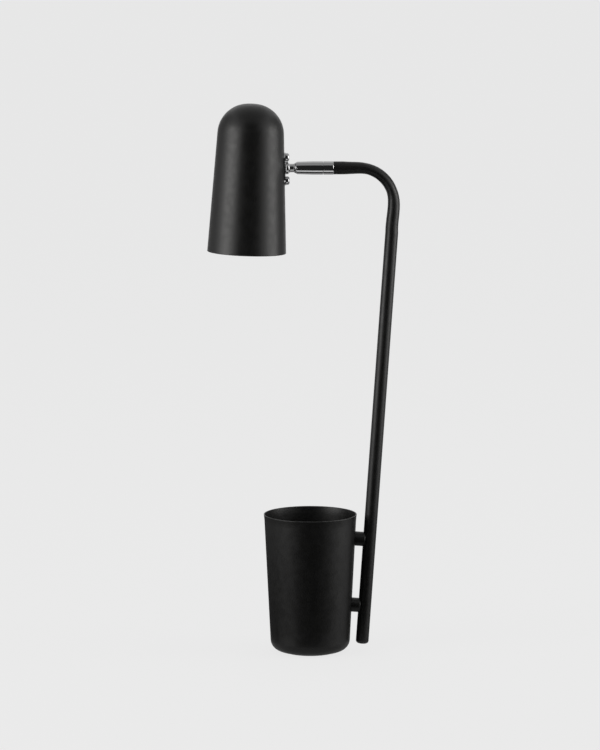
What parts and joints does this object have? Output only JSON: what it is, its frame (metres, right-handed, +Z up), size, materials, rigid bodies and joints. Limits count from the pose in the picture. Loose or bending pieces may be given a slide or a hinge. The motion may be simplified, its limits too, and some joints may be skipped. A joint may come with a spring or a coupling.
{
  "type": "desk lamp with pen cup base",
  "caption": "Desk lamp: a bent tube stands beside a tapered pen cup and carries a bullet-shaped shade on a chrome ball swivel.",
  "frame": {"origin": "centre of the foot's underside, on the cup's axis and on the desk", "axes": "+Z up; the stem stands on the +X side of the cup and the shade reaches out to -X; the cable bush faces +Y, the back"},
  "size_m": [0.1782, 0.0868, 0.5132],
  "materials": {
    "black_paint": "satin powder coat",
    "shade_paint": "satin powder coat outside, white paint inside",
    "chrome": "polished chrome plate",
    "chrome_plate": "polished chrome plate",
    "zinc_steel": "bright zinc plate",
    "spring_steel": "plain spring steel",
    "brass": "turned",
    "cast_iron": "as cast, blacked",
    "foot_foam": "dense foam rubber",
    "mat_foam": "ribbed foam rubber",
    "black_plastic": "moulded",
    "seat_nylon": "moulded nylon",
    "holder_body": "glazed white",
    "lamp_shell": "white moulded",
    "lamp_front": "frosted",
    "lead_sheath": "white flexible sheath"
  },
  "bodies": {
    "stand": {"pen_cup": "black_paint", "stem_tube": "black_paint", "upper_standoff": "black_paint", "lower_standoff": "black_paint", "foot_pad": "foot_foam", "ballast": "cast_iron", "ballast_mat": "mat_foam", "ballast_screw": "zinc_steel", "ballast_washer": "zinc_steel", "standoff_screws": "zinc_steel", "standoff_washers": "zinc_steel", "stem_inserts": "brass", "stem_end_plug": "black_plastic", "cable_bush": "black_plastic", "stem_lead": "lead_sheath", "swivel_body": "chrome", "swivel_grub_screw": "spring_steel", "retaining_ring": "spring_steel"},
    "swivel": {"swivel_sleeve": "chrome", "disc_springs": "spring_steel", "pressure_seat": "brass"},
    "seat": {"ball_seat": "seat_nylon"},
    "head": {"ball_stud": "chrome", "shade": "shade_paint", "shade_plate": "chrome_plate", "plate_screws": "chrome", "plate_nuts": "zinc_steel", "stud_washer": "zinc_steel", "stud_nut": "zinc_steel", "lamp_bracket": "zinc_steel", "lampholder": "holder_body", "holder_screws": "zinc_steel", "lamp_body": "lamp_shell", "lamp_lens": "lamp_front", "lamp_pins": "brass", "head_lead": "lead_sheath"}
  },
  "joints": [
    {"name": "head_roll", "type": "hinge", "parent": "stand", "child": "swivel", "pos_m": [-0.012, 0, 0.454], "axis": [1, 0, 0], "range_deg": [-175, 175]},
    {"name": "head_pan", "type": "hinge", "parent": "swivel", "child": "seat", "pos_m": [-0.012, 0, 0.454], "axis": [0, 0, 1], "range_deg": [-15, 15]},
    {"name": "head_tilt", "type": "hinge", "parent": "seat", "child": "head", "pos_m": [-0.012, 0, 0.454], "axis": [0, 1, 0], "range_deg": [-15, 15]}
  ]
}
